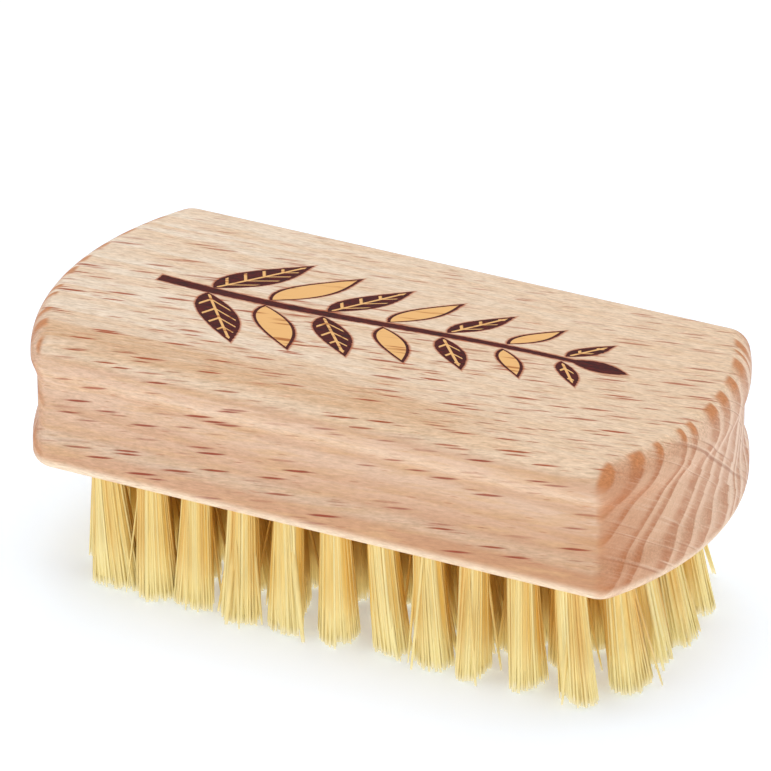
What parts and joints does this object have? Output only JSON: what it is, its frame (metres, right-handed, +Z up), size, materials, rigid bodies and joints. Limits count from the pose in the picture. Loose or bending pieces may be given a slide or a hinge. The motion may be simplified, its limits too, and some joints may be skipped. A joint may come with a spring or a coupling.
{
  "type": "nail brush",
  "caption": "Nail brush with a moulded hardwood block, bowed ends, a finger groove all round, and rows of plant-fibre tufts set in blind holes.",
  "frame": {"origin": "under the middle of the block, on the plane of the bristle tips", "axes": "+X along the block's length, +Y across it, +Z up from the tips to the back of the block"},
  "size_m": [0.095, 0.045, 0.0377],
  "materials": {
    "beech": "oiled beech, fine sanded",
    "fibre": "natural plant fibre, cut ends",
    "anchor_wire": "flat drawn brass wire"
  },
  "bodies": {
    "root": {"block": "beech", "tuft_row_1": "fibre", "tuft_row_2": "fibre", "tuft_row_3": "fibre", "tuft_row_4": "fibre", "tuft_row_5": "fibre", "tuft_row_6": "fibre", "anchor_row_1": "anchor_wire", "anchor_row_2": "anchor_wire", "anchor_row_3": "anchor_wire", "anchor_row_4": "anchor_wire", "anchor_row_5": "anchor_wire", "anchor_row_6": "anchor_wire"}
  },
  "joints": []
}
